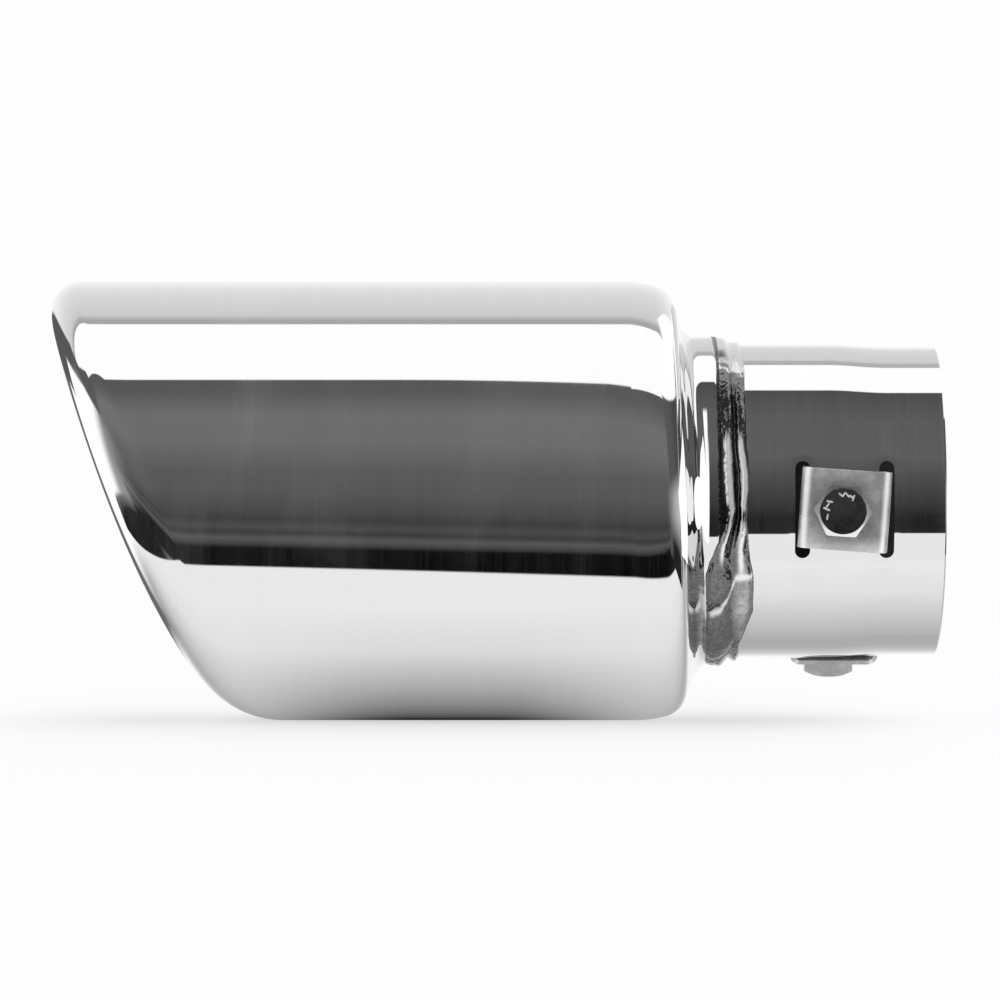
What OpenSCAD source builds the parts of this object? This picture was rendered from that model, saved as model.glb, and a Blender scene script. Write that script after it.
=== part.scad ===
// Bolt-on exhaust tip: a polished body with a slanted, rolled-in mouth, welded to a
// straight inlet neck that two bolt-and-clip clamps fix on a tailpipe.
// The axis runs along X. The origin is the centre of the neck's open end, and the
// mouth is at -X with its long lip at the top.

/* [Body] */
// Outside diameter of the body
body_d = 89; // [80:0.5:100]
// Length from the front of the upper lip to the open end of the neck
tip_length = 178.9; // [165:0.1:200]
// Sheet thickness of the body
body_wall = 1.5; // [1:0.1:2]

/* [Mouth] */
// How far the lower lip sits behind the upper lip
slant_setback = 26.3; // [15:0.1:35]
// How far the sides of the mouth sit behind a flat slant
mouth_bow = 0.6; // [0:0.1:3]
// Outside radius of the rolled lip at the top
lip_r_top = 6; // [5:0.1:8]
// Outside radius of the rolled lip at the bottom
lip_r_bottom = 20.7; // [12:0.1:24]
// Outside radius of the tighter curl at the lip's inner edge
curl_r = 4; // [3:0.1:5]
// Angle through which the inner edge is curled
curl_angle = 50; // [20:1:60]

/* [Shoulder] */
// Distance from the neck's open end to the edge of the collar
collar_end = 44.5; // [42:0.5:50]
// Length of the collar that holds the neck
collar_length = 5; // [4.5:0.1:6]
// Radius where the collar turns into the shoulder
collar_r = 1.5; // [1:0.1:2]
// Slope of the shoulder's face, measured from square to the axis
shoulder_slope = 17.7; // [12:0.1:24]
// How much steeper the face stands at the top than at the sides
shoulder_slope_change = 3.3; // [0:0.1:5]
// How far the foot of the shoulder sits forward at the top
shoulder_lean = 1.7; // [0:0.1:2]
// Outside radius where the shoulder turns into the barrel
shoulder_r = 6; // [4:0.1:7]
// Outside radius of the long easing curve at the rear of the barrel
ease_r = 25; // [15:1:40]
// Angle through which the easing curve turns
ease_angle = 14; // [5:1:20]

/* [Inlet neck] */
// Outside diameter of the neck
neck_d = 63.4; // [60:0.1:66]
// How much narrower the neck is at its open end
neck_narrowing = 1; // [0:0.1:2]
// Wall thickness of the neck
neck_wall = 1.2; // [1:0.1:1.5]
// Length of the neck, with the stretch inside the body
neck_length = 54; // [52:0.5:65]
// Length of the narrower straight stretch at the open end
neck_end_length = 10; // [6:0.5:10]
// Length over which the neck narrows
neck_taper_length = 12; // [6:0.5:20]

/* [Weld] */
// How far the bead laps over the collar
bead_lap = 1.2; // [0.5:0.1:1.5]
// How far the bead runs along the neck
bead_run = 5.1; // [4:0.1:7]
// Height of the bead above the collar
bead_rise = 0.3; // [0.1:0.05:0.6]
// Angle of the wide blob, from the top towards the side clamp
blob_angle = 145; // [100:1:180]

/* [Clamp slots] */
// Distance from the neck's open end to the middle of each clamp
clamp_station = 20.1; // [18:0.1:24]
// Distance between the two slots of a clamp, middle to middle
slot_spacing = 16.6; // [16.4:0.1:17.4]
// Width of a slot along the neck
slot_width = 3; // [2.8:0.1:3.4]
// Length of a slot round the neck
slot_length = 19.2; // [18.8:0.1:22]
// Angle of the side clamp above the horizontal
side_angle = -3.3; // [-30:0.1:30]
// Angle of the lower clamp above the horizontal
lower_angle = -110; // [-150:1:-90]

/* [Clamp clips] */
// Width of the clip round the neck
clip_width = 16; // [14:0.5:17]
// Length of the clip along the neck, over its legs
clip_span = 17.8; // [17.4:0.1:18.4]
// Sheet thickness of the clip
clip_t = 1; // [0.8:0.1:1.2]
// Outside radius of the clip's bends
clip_bend_r = 2; // [1.5:0.1:2.5]
// Length of each foot under the neck wall
foot_length = 2; // [1:0.1:2.4]
// Depth of the drawn thread collar under the clip's plate
thread_collar_depth = 2.5; // [2:0.1:2.9]
// Wall of the drawn thread collar
thread_collar_wall = 1; // [0.8:0.1:1.5]
// How far the bolt sits off the middle of the clip, towards the mouth
bolt_offset = 0.7; // [0:0.1:0.8]
// How far the side clip has turned in its slots
side_clip_turn = 4; // [0:0.5:4]

/* [Clamp bolts] */
// Nominal thread diameter of the bolts
bolt_d = 6; // [5:1:6]
// Width of the bolt head across its flats
bolt_flats = 10; // [8:0.5:10]
// Height of the bolt head
bolt_head_h = 4; // [3:0.1:5]
// Length of the bolt under its head
bolt_length = 16; // [12:1:25]

/* [Hidden] */

steel = "#c9cacb";
weld_grey = "#6b6a68";
zinc = "#b3b4ae";
bolt_steel = "#d2d3d3";

round_fn = 96;
shell_steps = 64;
bead_steps = 96;

// Clearances between pieces
seat_gap = 0.1;
bead_gap = 0.02;
foot_gap = 0.15;
thread_gap = 0.05;
hole_gap = 0.5;
head_gap = 0.1;
overcut = 1;

body_r = body_d / 2;
neck_r = neck_d / 2;
neck_end_r = neck_r - neck_narrowing / 2;
collar_out_r = neck_r + seat_gap + body_wall;

// The shell is one sheet: a closed section that changes round the axis.
// u is 1 at the top, 0 at the sides and -1 at the bottom.
lip_growth = 2;
lip_steps = 9;
curl_steps = 4;
ease_steps = 2;
shoulder_steps = 5;
collar_steps = 2;
slant = slant_setback / (body_d - lip_r_top - lip_r_bottom);

function lip_r(u) = lip_r_top + (lip_r_bottom - lip_r_top) * pow((1 - u) / 2, lip_growth);
function crown_x(u) = -tip_length + slant_setback * (1 - u) / 2 + mouth_bow * (1 - u * u);

// Points of an arc in the [x, radius] section
function arc(cx, cr, r, from, to, steps) =
    [for (i = [0 : steps]) let (a = from + (to - from) * i / steps) [cx + r * cos(a), cr + r * sin(a)]];

function lip_turn(u) = 90 + atan(slant * u);

function lip_arc(u, inset) =
    let (r = lip_r(u)) arc(crown_x(u) + r, body_r - r, r - inset, 90, 90 + lip_turn(u), lip_steps);

function curl_arc(u, inset) =
    let (r = lip_r(u), from = 90 + lip_turn(u), step = curl_angle / curl_steps)
    arc(crown_x(u) + r + (r - curl_r) * cos(from), body_r - r + (r - curl_r) * sin(from),
        curl_r - inset, from + step, from + curl_angle, curl_steps - 1);

// The rear end, from the collar outwards: fillet, sloping face, shoulder arc, easing curve.
// The face's line meets the collar's line at the foot.
function face_slope(u) = shoulder_slope - shoulder_slope_change * u;
function foot_x(u) = -collar_end - collar_length - shoulder_lean * u;

shoulder_c = body_r - ease_r + (ease_r - shoulder_r) * cos(ease_angle);
function shoulder_x(u) =
    let (t = face_slope(u))
    foot_x(u) - (shoulder_c + shoulder_r * sin(t) - collar_out_r) * tan(t) - shoulder_r * cos(t);

function collar_arc(u, inset) =
    let (turn = 90 - face_slope(u))
    arc(foot_x(u) + collar_r * tan(turn / 2), collar_out_r + collar_r, collar_r + inset,
        270, 270 - turn, collar_steps);

function shoulder_arc(u, inset) =
    arc(shoulder_x(u), shoulder_c, shoulder_r - inset, face_slope(u), 90 - ease_angle, shoulder_steps);

function ease_arc(u, inset) =
    let (step = ease_angle / ease_steps)
    arc(shoulder_x(u) - (ease_r - shoulder_r) * sin(ease_angle), body_r - ease_r, ease_r - inset,
        90 - ease_angle + step, 90, ease_steps - 1);

function skin(u, inset) = concat([[-collar_end, collar_out_r - inset]], collar_arc(u, inset),
                                 shoulder_arc(u, inset), ease_arc(u, inset),
                                 lip_arc(u, inset), curl_arc(u, inset));
function reversed(points) = [for (i = [len(points) - 1 : -1 : 0]) points[i]];
function shell_section(u) = concat(skin(u, 0), reversed(skin(u, body_wall)));

// Carries a section round the axis and closes it into one ring
module ring_of(sections) {
    rings = len(sections);
    size = len(sections[0]);
    points = [for (i = [0 : rings - 1], p = sections[i])
              let (a = 360 * i / rings) [p[0], -p[1] * sin(a), p[1] * cos(a)]];
    faces = [for (i = [0 : rings - 1], j = [0 : size - 1])
             let (i2 = (i + 1) % rings, j2 = (j + 1) % size,
                  a = i * size + j, b = i * size + j2, c = i2 * size + j2, d = i2 * size + j)
             each [[a, c, b], [a, d, c]]];
    polyhedron(points, faces, convexity = 8);
}

// The polished body: mouth with its rolled lip, barrel, shoulder and collar
module tip_shell() {
    color(steel)
    ring_of([for (i = [0 : shell_steps - 1]) shell_section(cos(360 * i / shell_steps))]);
}

// Lays something made along +Z down along +X
module along_axis() {
    rotate([0, 90, 0]) children();
}

// Turns something made with +Z outwards to a clamp's place on the neck
module at_clamp(angle) {
    translate([-clamp_station, 0, 0]) rotate([90 - angle, 0, 0]) children();
}

// A slot with round ends, punched through the near wall of the neck
module slot_cut() {
    straight = slot_length - slot_width;
    translate([0, 0, neck_r / 2]) linear_extrude(neck_r) {
        square([slot_width, straight], center = true);
        for (side = [-1, 1]) translate([0, side * straight / 2]) circle(d = slot_width, $fn = round_fn);
    }
}

thread_hole_r = bolt_d / 2;
thread_collar_r = thread_hole_r + thread_collar_wall;

// The two slots of one clamp and the hole for its thread collar
module clamp_cut() {
    for (side = [-1, 1]) translate([side * slot_spacing / 2, 0, 0]) slot_cut();
    translate([-bolt_offset, 0, neck_r / 2])
        cylinder(r = thread_collar_r + hole_gap, h = neck_r, $fn = round_fn);
}

// The straight tube that slides over the tailpipe
module inlet_neck() {
    narrow = neck_end_length;
    wide = neck_end_length + neck_taper_length;
    color(steel)
    difference() {
        along_axis() rotate_extrude($fn = round_fn)
            polygon([[neck_r - neck_wall, -neck_length], [neck_r, -neck_length],
                     [neck_r, -wide], [neck_end_r, -narrow], [neck_end_r, 0],
                     [neck_end_r - neck_wall, 0], [neck_end_r - neck_wall, -narrow],
                     [neck_r - neck_wall, -wide]]);
        at_clamp(side_angle) clamp_cut();
        at_clamp(lower_angle) clamp_cut();
    }
}

// The bead bridges the collar's edge and the neck. It has two ridges with a valley
// between them, and swells into one wide blob low on the side.
blob_spread = 26;
blob_front = 0.8;
blob_back = 2;
edge_wander = 0.25;

// Rows across the bead, from the collar to the neck: place as a share of its width,
// height as a share of the step down to the neck, unevenness, and extra height at the blob
bead_rows = [
    [0.09, 0.94, 0.06, 0],
    [0.22, 0.91, 0.06, 0.25],
    [0.38, 0.7, 0.16, 0.5],
    [0.53, 0.42, 0.12, 0.8],
    [0.7, 0.62, 0.18, 0.7],
    [0.88, 0.36, 0.12, 0.35]];
row_phase = 45;

function blob(a) = exp(-pow((a - blob_angle) / blob_spread, 2));
function ripple(a, phase) =
    0.5 * sin(5 * a + phase) + 0.3 * sin(11 * a + 2 * phase) + 0.2 * sin(23 * a + 3 * phase);
function flat_to(r) = r / cos(180 / bead_steps);

function bead_section(a) =
    let (swell = blob(a),
         front = -collar_end - bead_lap - blob_front * swell,
         back = -collar_end + bead_run + edge_wander * ripple(a, 0) + blob_back * swell,
         drop = collar_out_r + bead_rise - neck_r)
    concat([[front, flat_to(collar_out_r + bead_gap)]],
           [for (i = [0 : len(bead_rows) - 1])
            let (row = bead_rows[i])
            [front + row[0] * (back - front),
             neck_r + row[1] * drop + row[2] * ripple(a, row_phase * (i + 1)) + row[3] * swell]],
           [[back, flat_to(neck_r + bead_gap)],
            [-collar_end + bead_gap, flat_to(neck_r + bead_gap)],
            [-collar_end + bead_gap, flat_to(collar_out_r + bead_gap)]]);

// The weld that joins the body's collar to the neck
module weld_bead() {
    color(weld_grey)
    ring_of([for (i = [0 : bead_steps - 1]) bead_section(360 * i / bead_steps)]);
}

// Height of the clip's plate above the axis, and how deep its feet sit
plate_in = neck_r;
plate_out = plate_in + clip_t;
foot_top = sqrt(pow(neck_end_r - neck_wall, 2) - pow(clip_width / 2, 2)) - foot_gap;

// A quarter of a bent sheet, in the first quadrant
module bend(r) {
    intersection() {
        difference() {
            circle(r = r, $fn = round_fn);
            circle(r = r - clip_t, $fn = round_fn);
        }
        square(r);
    }
}

// Half of the clip's folded section: plate, bend, leg, bend and foot
module clip_half_section() {
    half = clip_span / 2;
    foot_bend = foot_top - clip_t + clip_bend_r;
    translate([0, plate_in]) square([half - clip_bend_r, clip_t]);
    translate([half - clip_bend_r, plate_out - clip_bend_r]) bend(clip_bend_r);
    translate([half - clip_t, foot_bend]) square([clip_t, plate_out - clip_bend_r - foot_bend]);
    translate([half - clip_bend_r, foot_bend]) mirror([0, 1]) bend(clip_bend_r);
    translate([half - clip_bend_r - foot_length, foot_top - clip_t]) square([foot_length, clip_t]);
}

// A folded sheet staple: its legs pass through the slots and its feet are bent in
// under the neck wall. Its plate is drawn down into a collar that holds the thread.
module clamp_clip() {
    color(zinc)
    difference() {
        union() {
            rotate([90, 0, 0]) translate([0, 0, -clip_width / 2]) linear_extrude(clip_width) {
                clip_half_section();
                mirror([1, 0]) clip_half_section();
            }
            translate([-bolt_offset, 0, plate_in - thread_collar_depth])
                cylinder(r = thread_collar_r, h = thread_collar_depth + clip_t / 2, $fn = round_fn);
        }
        translate([-bolt_offset, 0, plate_in - thread_collar_depth - overcut])
            cylinder(r = thread_hole_r, h = thread_collar_depth + clip_t + 2 * overcut, $fn = round_fn);
    }
}

chamfer_h = 0.5;
chamfer_slope = 30;
washer_h = 0.3;
tip_chamfer = 0.8;

// A hexagon bolt with its head outwards, as it sits on the clip's plate
module clamp_bolt() {
    corner_r = bolt_flats / 2 / cos(30);
    shank_r = thread_hole_r - thread_gap;
    top_r = bolt_flats / 2 - chamfer_h;
    under = plate_out + head_gap;
    cone_h = (corner_r - top_r) * tan(chamfer_slope);
    color(bolt_steel) {
        intersection() {
            translate([0, 0, under + washer_h])
                cylinder(r = corner_r, h = bolt_head_h - washer_h, $fn = 6);
            translate([0, 0, under]) union() {
                cylinder(r = corner_r + overcut, h = bolt_head_h - cone_h, $fn = round_fn);
                translate([0, 0, bolt_head_h - cone_h])
                    cylinder(r1 = corner_r, r2 = top_r, h = cone_h, $fn = round_fn);
            }
        }
        translate([0, 0, under]) cylinder(r = top_r, h = washer_h, $fn = round_fn);
        translate([0, 0, under - bolt_length + tip_chamfer])
            cylinder(r = shank_r, h = bolt_length - tip_chamfer, $fn = round_fn);
        translate([0, 0, under - bolt_length])
            cylinder(r1 = shank_r - tip_chamfer, r2 = shank_r, h = tip_chamfer, $fn = round_fn);
    }
}

module side_clip() {
    at_clamp(side_angle) rotate([0, 0, -side_clip_turn]) clamp_clip();
}

module lower_clip() {
    at_clamp(lower_angle) clamp_clip();
}

module side_bolt() {
    at_clamp(side_angle) rotate([0, 0, -side_clip_turn]) translate([-bolt_offset, 0, 0]) clamp_bolt();
}

module lower_bolt() {
    at_clamp(lower_angle) translate([-bolt_offset, 0, 0]) rotate([0, 0, 30]) clamp_bolt();
}

tip_shell();
inlet_neck();
weld_bead();
side_clip();
lower_clip();
side_bolt();
lower_bolt();
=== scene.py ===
import math

import bpy
import numpy as np
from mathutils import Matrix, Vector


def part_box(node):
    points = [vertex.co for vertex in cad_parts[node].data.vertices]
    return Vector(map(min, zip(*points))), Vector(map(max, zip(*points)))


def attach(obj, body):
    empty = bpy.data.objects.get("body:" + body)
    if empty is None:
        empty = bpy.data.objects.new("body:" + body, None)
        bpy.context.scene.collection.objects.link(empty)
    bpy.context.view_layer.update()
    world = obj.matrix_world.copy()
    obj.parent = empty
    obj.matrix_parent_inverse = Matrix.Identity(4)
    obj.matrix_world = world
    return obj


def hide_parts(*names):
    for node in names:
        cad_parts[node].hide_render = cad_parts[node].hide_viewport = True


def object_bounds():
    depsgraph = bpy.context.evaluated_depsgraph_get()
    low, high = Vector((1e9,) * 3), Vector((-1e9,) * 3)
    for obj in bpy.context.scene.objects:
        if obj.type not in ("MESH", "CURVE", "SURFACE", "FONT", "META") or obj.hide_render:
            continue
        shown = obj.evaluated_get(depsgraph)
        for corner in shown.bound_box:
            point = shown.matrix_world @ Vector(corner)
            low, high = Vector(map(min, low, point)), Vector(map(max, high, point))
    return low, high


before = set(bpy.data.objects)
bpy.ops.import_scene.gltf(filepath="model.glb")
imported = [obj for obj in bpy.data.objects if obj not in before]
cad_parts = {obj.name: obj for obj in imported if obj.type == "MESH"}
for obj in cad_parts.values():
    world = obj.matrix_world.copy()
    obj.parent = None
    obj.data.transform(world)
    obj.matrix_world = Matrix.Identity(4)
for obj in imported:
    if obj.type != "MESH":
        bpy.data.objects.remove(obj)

# The CAD model's box, before any new piece is made
cad_low, cad_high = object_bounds()

MM = 0.001

# Camera: level with the axis, as far away as the photo's perspective says
CAMERA_X = -88.1 * MM
CAMERA_DISTANCE = 1050 * MM
CAMERA_SENSOR = 36.0
CAMERA_LENS = 186.1
CAMERA_SHIFT = 0.0008


def make_camera():
    """A long lens at the height of the axis, looking along +Y at the middle of the tip."""
    data = bpy.data.cameras.new("studio_camera")
    data.lens = CAMERA_LENS
    data.sensor_width = CAMERA_SENSOR
    data.shift_y = CAMERA_SHIFT
    data.clip_start = 0.05
    data.clip_end = 50
    camera = bpy.data.objects.new("studio_camera", data)
    camera.location = (CAMERA_X, -CAMERA_DISTANCE, 0)
    camera.rotation_euler = (math.radians(90), 0, 0)
    bpy.context.scene.collection.objects.link(camera)
    bpy.context.scene.camera = camera


make_camera()

# Sizes of the body, from the frame and as in the part's source
shell_low, shell_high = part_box("tip_shell")
neck_low, neck_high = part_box("inlet_neck")
BODY_R = (shell_high.z - shell_low.z) / 2
TIP_LENGTH = -shell_low.x
COLLAR_END = -shell_high.x
NECK_R = (neck_high.z - neck_low.z) / 2
NECK_LENGTH = -neck_low.x
BODY_WALL = 1.5 * MM
SLANT_SETBACK = 26.3 * MM
MOUTH_BOW = 0.6 * MM
LIP_R_TOP = 6 * MM
LIP_R_BOTTOM = 20.7 * MM
LIP_GROWTH = 2
CURL_R = 4 * MM
CURL_ANGLE = math.radians(50)
COLLAR_LENGTH = 5 * MM
FOOT_BEND_R = 7.2 * MM
FOOT_BEND_END = math.radians(52)
SHOULDER_SLOPE = math.radians(17.7)
SHOULDER_SLOPE_CHANGE = math.radians(3.3)
SHOULDER_LEAN = 1.7 * MM
SHOULDER_R = 6 * MM
EASE_R = 25 * MM
EASE_ANGLE = math.radians(14)
SEAT_GAP = 0.1 * MM
NECK_WALL = 1.2 * MM
NECK_END_R = 31.2 * MM
NECK_END_LENGTH = 10 * MM
NECK_TAPER_LENGTH = 12 * MM
COLLAR_OUT_R = NECK_R + SEAT_GAP + BODY_WALL

# The weld, in stops of an angle round the tip in degrees and a place in millimetres along X from
# the collar's end: its edge on the collar, its edge on the neck, and the crests of its two ridges
WELD_FRONT = ((0, -0.9), (34, -0.5), (60, -0.7), (104, -0.5), (111, -2.2), (116, -3.1), (150, -3.0),
              (163, -2.6), (176, -1.2), (340, -1.2))
WELD_BACK = ((0, 5.1), (60, 5.1), (70, 5.1), (80, 5.6), (88, 5.5), (97, 5.1), (110, 5.7), (118, 6.5),
             (134, 6.6), (146, 5.2), (155, 4.2), (180, 4.6), (200, 5.1))
FIRST_RIDGE = ((0, 1.3), (62, 1.6), (70, 1.3), (79, 1.4), (87, 1.6), (93, 2.1), (96.5, 1.9), (100, 1.4),
               (105, 0.6), (109, 0.1), (170, 0.6), (190, 1.2))
SECOND_RIDGE = ((0, 4.2), (66, 3.8), (72.6, 4.1), (79.5, 4.75), (86.4, 4.8), (91.5, 4.4), (96.5, 4.5),
                (103.3, 4.2), (108.5, 3.9), (125, 4.2), (190, 4.2))
# Frozen pools in the weld's blob: angle, half angle, place and half width
UPPER_POOL = (119.5, 8.5, -0.6, 2.9)
LOWER_POOL = (146, 17, -0.2, 3.3)
RIM_POOL = (131, 20, 4.4, 2.3)

# Sizes of the clamps and bolts
CLAMP_STATION = 20.1 * MM
SLOT_SPACING = 16.6 * MM
SLOT_WIDTH = 3 * MM
SLOT_LENGTH = 19.2 * MM
SIDE_ANGLE = math.radians(-3.3)
LOWER_ANGLE = math.radians(-110)
SIDE_CLIP_TURN = math.radians(-4)
LOWER_BOLT_TURN = math.radians(30)
CLIP_WIDTH = 16 * MM
CLIP_SPAN = 17.8 * MM
CLIP_T = 1 * MM
CLIP_BEND_R = 2 * MM
FOOT_LENGTH = 2 * MM
FOOT_GAP = 0.15 * MM
THREAD_COLLAR_DEPTH = 2.5 * MM
THREAD_COLLAR_R = 4 * MM
THREAD_HOLE_R = 3 * MM
HOLE_GAP = 0.5 * MM
BOLT_OFFSET = 0.7 * MM
BOLT_FLATS = 10 * MM
BOLT_HEAD_H = 4 * MM
BOLT_LENGTH = 16 * MM
BOLT_PITCH = 1 * MM
BOLT_SHANK_R = 2.95 * MM
THREAD_DEPTH = 0.35 * MM
HEAD_GAP = 0.1 * MM
CHAMFER_SLOPE = math.radians(30)
HEAD_TOP_R = 4.5 * MM
WASHER_R = 4.5 * MM
WASHER_H = 0.3 * MM

# Strokes on the bolt heads: place round the head and lean in degrees, half length in millimetres
HEAD_STROKES = ((57, 20, 0.5), (66, 80, 0.3), (80, 55, 0.45), (92, -30, 0.4), (103, 40, 0.35),
                (148, 25, 0.5), (163, 75, 0.4), (176, -15, 0.55), (203, 60, 0.45))
STROKE_HEIGHT = 0.16 * MM
STROKE_HALF_WIDTH = 0.2 * MM
STROKE_RADIUS = 3.3 * MM


def lattice_value(ix, iy, iz):
    """A fixed number from 0 to 1 for each point of a whole-number lattice, mixed with large primes."""
    mixed = (ix * 73856093) ^ (iy * 19349663) ^ (iz * 83492791)
    mixed = (mixed ^ (mixed >> 13)) * 1274126177
    return ((mixed ^ (mixed >> 16)) & 0xFFFF) / 65535.0


def soft_noise(x, y, z):
    """Value noise from -1 to 1: lattice values blended along each axis with the curve 3t^2 - 2t^3."""
    ix, iy, iz = (np.floor(c).astype(np.int64) for c in (x, y, z))
    tx, ty, tz = (c - np.floor(c) for c in (x, y, z))
    sx, sy, sz = (t * t * (3 - 2 * t) for t in (tx, ty, tz))
    total = 0
    for dx in (0, 1):
        for dy in (0, 1):
            for dz in (0, 1):
                weight = (sx if dx else 1 - sx) * (sy if dy else 1 - sy) * (sz if dz else 1 - sz)
                total = total + weight * lattice_value(ix + dx, iy + dy, iz + dz)
    return 2 * total - 1


def layered_noise(points, size, layers=3):
    """Soft noise summed over layers, each half as coarse and half as strong as the one before."""
    total, strength, scale = 0, 1.0, 1.0 / size
    for layer in range(layers):
        shift = 17.3 * layer
        total = total + strength * soft_noise(*(points[..., i] * scale + shift for i in range(3)))
        strength, scale = strength / 2, scale * 2
    return total


def smooth_step(value, start, end):
    """0 before start, 1 after end and the curve 3t^2 - 2t^3 between them."""
    t = np.clip((value - start) / (end - start), 0, 1)
    return t * t * (3 - 2 * t)


def make_mesh(name, points, face_blocks):
    """One object at the origin from an array of points and blocks of faces. Each block is an array
    with one row of point numbers for each face."""
    mesh = bpy.data.meshes.new(name)
    corners = np.concatenate([block.ravel() for block in face_blocks]).astype(np.int32)
    sizes = np.concatenate([np.full(len(block), block.shape[1]) for block in face_blocks])
    starts = (np.cumsum(sizes) - sizes).astype(np.int32)
    mesh.vertices.add(len(points))
    mesh.vertices.foreach_set("co", np.ascontiguousarray(points, dtype=np.float32).ravel())
    mesh.loops.add(len(corners))
    mesh.loops.foreach_set("vertex_index", corners)
    mesh.polygons.add(len(sizes))
    mesh.polygons.foreach_set("loop_start", starts)
    mesh.polygons.foreach_set("use_smooth", np.ones(len(sizes), dtype=bool))
    mesh.update(calc_edges=True)
    mesh.validate()
    piece = bpy.data.objects.new(name, mesh)
    bpy.context.scene.collection.objects.link(piece)
    return piece


def ring_faces(rings, size):
    """Quads of a grid that is closed both ways: ring i is joined to ring i + 1, point j to point j + 1."""
    i, j = np.meshgrid(np.arange(rings), np.arange(size), indexing="ij")
    i2, j2 = (i + 1) % rings, (j + 1) % size
    return np.stack([i * size + j, i * size + j2, i2 * size + j2, i2 * size + j], -1).reshape(-1, 4)


def ring_piece(name, angles, x, radius):
    """Carries a closed section, given as x and radius for each angle, round the X axis.
    The angle runs from +Z towards -Y: point = (x, -radius sin angle, radius cos angle)."""
    a = angles[:, None]
    points = np.stack([x, -radius * np.sin(a), radius * np.cos(a)], -1)
    return make_mesh(name, points.reshape(-1, 3), [ring_faces(*x.shape)])


def arc(cx, cr, r, start, end, steps):
    """Points of an arc in the (x, radius) section, one row for each ring, without the last point."""
    a = start + (end - start) * np.arange(steps) / steps
    return cx + r * np.cos(a), cr + r * np.sin(a)


def line(start, end, steps):
    """Points from one end of a straight stretch towards the other, without the last point."""
    t = np.arange(steps) / steps
    return tuple(a + (b - a) * t for a, b in zip(start, end))


def on_arc(cx, cr, r, angle):
    """One point of an arc."""
    return cx + r * np.cos(angle), cr + r * np.sin(angle)


def shell_skin(u, inset, steps):
    """One skin of the body's sheet from the collar's edge to the lip's inner edge: collar, fillet,
    sloping face, shoulder arc, easing curve, barrel, lip arc and curl. The arcs touch each other,
    so each centre follows from the one before; the foot's bend meets the collar at an angle.
    inset is the skin's depth in the sheet."""
    right = math.pi / 2
    slope = SHOULDER_SLOPE - SHOULDER_SLOPE_CHANGE * u
    foot_x = -COLLAR_END - COLLAR_LENGTH - SHOULDER_LEAN * u
    bend_height = FOOT_BEND_R * math.sin(FOOT_BEND_END)
    bend_x = foot_x + (FOOT_BEND_R - bend_height * np.sin(slope)) / np.cos(slope)
    fillet = (bend_x, COLLAR_OUT_R + bend_height, FOOT_BEND_R + inset)
    fillet_end = math.pi + FOOT_BEND_END
    shoulder_c = BODY_R - EASE_R + (EASE_R - SHOULDER_R) * math.cos(EASE_ANGLE)
    face_height = shoulder_c + SHOULDER_R * np.sin(slope) - COLLAR_OUT_R
    shoulder_x = foot_x - face_height * np.tan(slope) - SHOULDER_R * np.cos(slope)
    shoulder = (shoulder_x, shoulder_c, SHOULDER_R - inset)
    ease = (shoulder_x - (EASE_R - SHOULDER_R) * math.sin(EASE_ANGLE), BODY_R - EASE_R, EASE_R - inset)

    lip_r = LIP_R_TOP + (LIP_R_BOTTOM - LIP_R_TOP) * ((1 - u) / 2) ** LIP_GROWTH
    crown_x = -TIP_LENGTH + SLANT_SETBACK * (1 - u) / 2 + MOUTH_BOW * (1 - u * u)
    slant = SLANT_SETBACK / (2 * BODY_R - LIP_R_TOP - LIP_R_BOTTOM)
    lip_end = math.pi + np.arctan(slant * u)
    lip = (crown_x + lip_r, BODY_R - lip_r, lip_r - inset)
    curl = (*on_arc(lip[0], lip[1], lip_r - CURL_R, lip_end), CURL_R - inset)
    parts = [
        line((-COLLAR_END, COLLAR_OUT_R - inset), on_arc(*fillet, fillet_end), steps["collar"]),
        arc(*fillet, fillet_end, math.pi + slope, steps["fillet"]),
        line(on_arc(*fillet, math.pi + slope), on_arc(*shoulder, slope), steps["face"]),
        arc(*shoulder, slope, right - EASE_ANGLE, steps["shoulder"]),
        arc(*ease, right - EASE_ANGLE, right, steps["ease"]),
        line(on_arc(*ease, right), on_arc(*lip, right), steps["barrel"]),
        arc(*lip, right, lip_end, steps["lip"]),
        arc(*curl, lip_end, lip_end + CURL_ANGLE, steps["curl"]),
        on_arc(*curl, lip_end + CURL_ANGLE),
    ]
    shape = (len(u), 1)
    x, r = (np.concatenate([np.broadcast_to(p[k], np.broadcast_shapes(shape, np.shape(p[k])))
                            for p in parts], 1) for k in (0, 1))
    return x, r


def make_tip_shell():
    """The body's outer skin, then its inner skin backwards, as one closed section for each angle."""
    rings = 360
    angles = 2 * np.pi * np.arange(rings) / rings
    u = np.cos(angles)[:, None]
    outer = dict(collar=4, fillet=8, face=8, shoulder=30, ease=14, barrel=24, lip=60, curl=16)
    inner = dict(collar=2, fillet=4, face=3, shoulder=12, ease=4, barrel=10, lip=26, curl=10)
    x0, r0 = shell_skin(u, 0, outer)
    x1, r1 = shell_skin(u, BODY_WALL, inner)
    x = np.concatenate([x0, x1[:, ::-1]], 1)
    r = np.concatenate([r0, r1[:, ::-1]], 1)
    return ring_piece("polished_body", angles, x, r)


body_shell = make_tip_shell()
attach(body_shell, "tip")
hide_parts("tip_shell")


def set_sharp(piece, degrees):
    """Edges that turn by more than this angle are shaded as edges."""
    piece.data.set_sharp_from_angle(angle=math.radians(degrees))


def apply_modifiers(piece):
    """Puts what the modifiers make into the mesh itself."""
    graph = bpy.context.evaluated_depsgraph_get()
    made = bpy.data.meshes.new_from_object(piece.evaluated_get(graph))
    old = piece.data
    piece.modifiers.clear()
    piece.data = made
    bpy.data.meshes.remove(old)


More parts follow.
